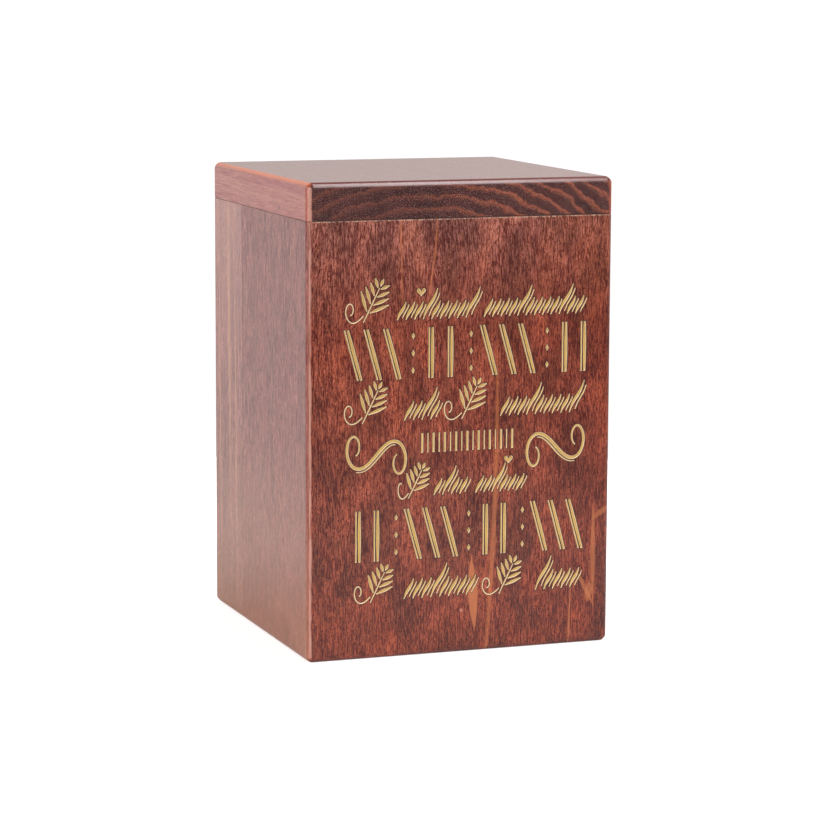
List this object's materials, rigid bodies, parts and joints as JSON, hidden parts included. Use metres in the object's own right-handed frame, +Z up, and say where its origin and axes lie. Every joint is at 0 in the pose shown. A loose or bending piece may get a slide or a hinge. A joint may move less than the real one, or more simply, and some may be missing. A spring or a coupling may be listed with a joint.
{
  "type": "cremation urn box",
  "caption": "Upright square wooden box with a lift-off lid that holds cremation ashes, its front engraved with gilt pen strokes, sprigs and scrolls.",
  "frame": {"origin": "middle of the underside, at the height of the surface it stands on", "axes": "+Z up, +X to the right along the engraved front, +Y from the front to the back"},
  "size_m": [0.163, 0.163, 0.24],
  "materials": {
    "front_wood": "reddish mahogany stain under satin lacquer, engraving filled with gold paint",
    "side_wood": "reddish mahogany stain under satin lacquer",
    "bottom_wood": "reddish stain, thinly lacquered",
    "lid_wood": "reddish mahogany stain under satin lacquer"
  },
  "bodies": {
    "root": {"front_board": "front_wood", "right_board": "side_wood", "back_board": "side_wood", "left_front_strip": "side_wood", "left_rear_strip": "side_wood", "bottom_board": "bottom_wood", "lid": "lid_wood"}
  },
  "joints": []
}
